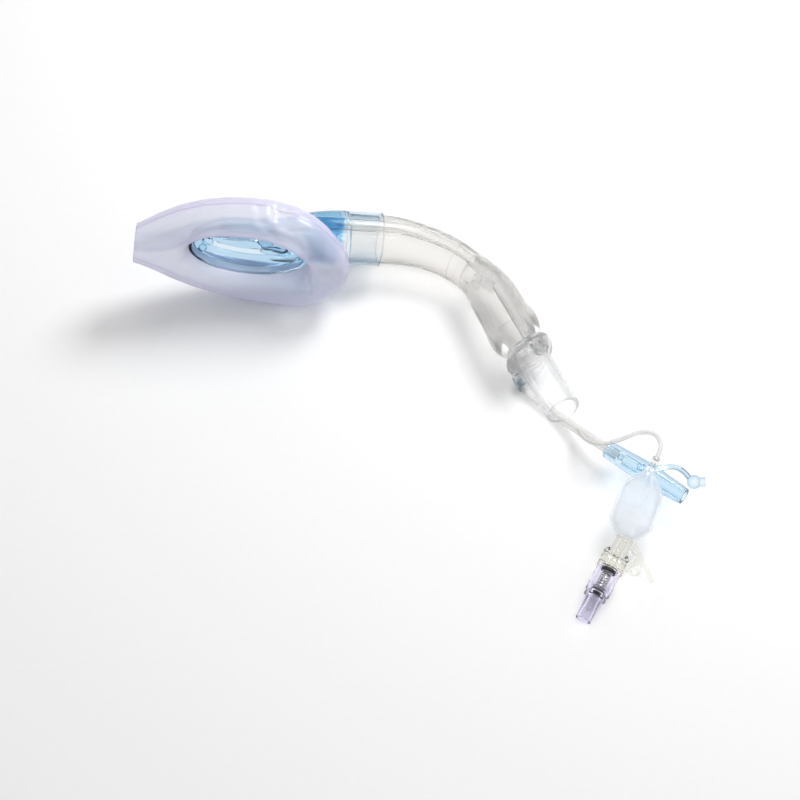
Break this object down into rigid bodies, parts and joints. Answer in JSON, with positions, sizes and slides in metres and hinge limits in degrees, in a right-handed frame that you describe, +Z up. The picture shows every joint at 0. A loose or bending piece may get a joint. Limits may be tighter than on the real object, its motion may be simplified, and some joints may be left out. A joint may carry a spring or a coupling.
{
  "type": "laryngeal mask airway",
  "caption": "Curved airway tube with an inflatable laryngeal cuff, gastric drain, integral bite block, 15 mm connector and pilot balloon with a spring check valve.",
  "frame": {"origin": "centre of the bounding box of the mask, tube and connector, on the table they lie on", "axes": "+Z up from the table, +X along the mask from its tip to the heel and on to the connector's side, +Y towards the back of the airway tube"},
  "size_m": [0.2436, 0.2013, 0.0556],
  "materials": {
    "cuff_film": "frosted translucent",
    "blue_elastomer": "satin translucent",
    "clear_blue_tube": "clear",
    "clear_tube": "clear",
    "clear_rigid": "clear, polished",
    "grey_blue_rigid": "clear",
    "blue_rigid": "clear, polished",
    "yellowish_clear": "clear",
    "balloon_film": "thin film",
    "violet_clear": "clear",
    "black_rubber": "matte",
    "spring_steel": "bright"
  },
  "bodies": {
    "airway": {"cuff": "cuff_film", "backplate": "blue_elastomer", "drain_tube": "clear_blue_tube", "airway_tube": "clear_tube", "bite_block": "clear_rigid", "connector": "clear_rigid", "side_ferrule": "grey_blue_rigid", "side_tube": "clear_tube", "drain_fitting": "blue_rigid", "plug_strap": "blue_rigid", "inflation_line": "clear_tube", "line_ferrule": "yellowish_clear", "pilot_balloon": "balloon_film", "valve_holder": "yellowish_clear", "release_clip": "yellowish_clear", "valve_body": "violet_clear", "spring_seat": "black_rubber", "valve_spring": "spring_steel"},
    "plunger": {"valve_plunger": "clear_rigid", "valve_seal": "black_rubber"}
  },
  "joints": [
    {"name": "valve_plunger_slide", "type": "slide", "parent": "airway", "child": "plunger", "axis": [0.4747, 0.8649, 0.163], "range_m": [0, 0.0018], "stiffness_N_per_m": 600, "springref_m": -0.002, "deforming": ["valve_spring"]}
  ]
}
